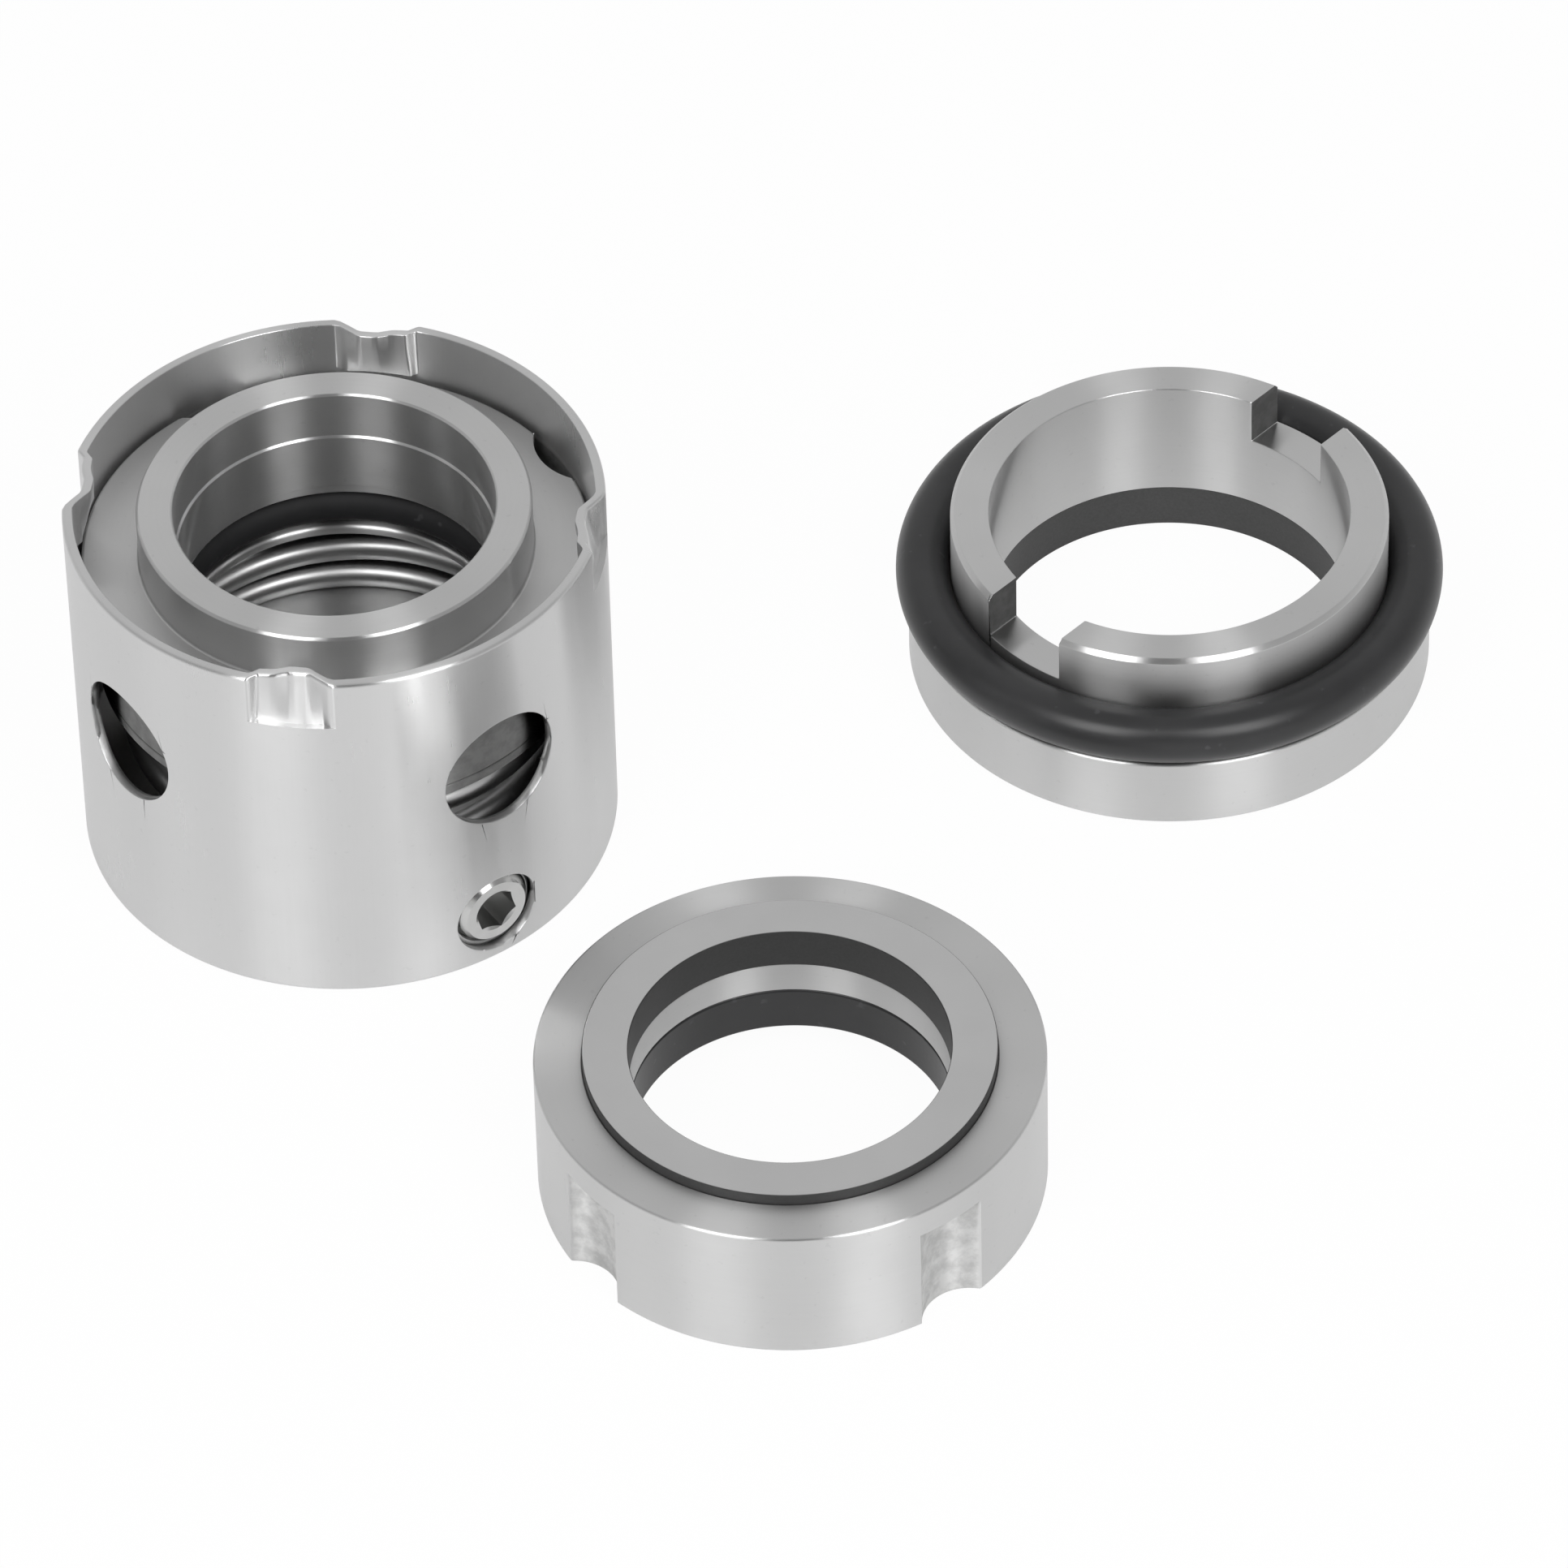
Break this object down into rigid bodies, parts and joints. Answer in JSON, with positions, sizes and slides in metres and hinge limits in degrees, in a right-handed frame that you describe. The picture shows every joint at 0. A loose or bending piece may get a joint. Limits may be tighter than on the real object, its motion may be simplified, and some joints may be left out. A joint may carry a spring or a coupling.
{
  "type": "pump mechanical seal",
  "caption": "Mechanical shaft seal: windowed steel drive shell with coil spring and sliding carrier ring, rotary face ring and stationary seat with O-ring, laid out apart.",
  "frame": {"origin": "centre of the drive collar's bore at the rotary unit's base, on the surface it stands on", "axes": "+Z along the pump shaft's axis through the rotary unit; +X towards the stationary seat's side; -Y towards the viewer and the face ring"},
  "size_m": [0.1321, 0.1203, 0.04],
  "materials": {
    "drawn_steel": "bright drawn stainless sheet",
    "turned_steel": "fine turned stainless steel",
    "screw_steel": "plain stainless screw",
    "spring_wire": "drawn spring wire",
    "black_rubber": "smooth moulded rubber",
    "light_lapped_face": "lapped hard-metal face",
    "dark_lapped_face": "lapped carbon face"
  },
  "bodies": {
    "root": {"drive_shell": "drawn_steel", "drive_collar": "turned_steel", "coil_spring": "spring_wire", "face_holder": "turned_steel", "face_insert": "light_lapped_face", "face_gasket": "black_rubber", "seat_ring": "turned_steel", "seat_insert": "dark_lapped_face", "seat_o_ring": "black_rubber"},
    "carrier": {"carrier_ring": "turned_steel", "shaft_o_ring": "black_rubber", "thrust_ring": "turned_steel"},
    "screw_1": {"set_screw_1": "screw_steel"},
    "screw_2": {"set_screw_2": "screw_steel"}
  },
  "joints": [
    {"name": "carrier_slide", "type": "slide", "parent": "root", "child": "carrier", "axis": [0, 0, -1], "range_m": [0, 0.0025], "stiffness_N_per_m": 10000, "springref_m": -0.004, "deforming": ["coil_spring"]},
    {"name": "screw_1_travel", "type": "slide", "parent": "root", "child": "screw_1", "axis": [0.5592, -0.829, 0], "range_m": [-0.00025, 0.006]},
    {"name": "screw_2_travel", "type": "slide", "parent": "root", "child": "screw_2", "axis": [-0.5592, 0.829, 0], "range_m": [-0.00025, 0.006]}
  ]
}
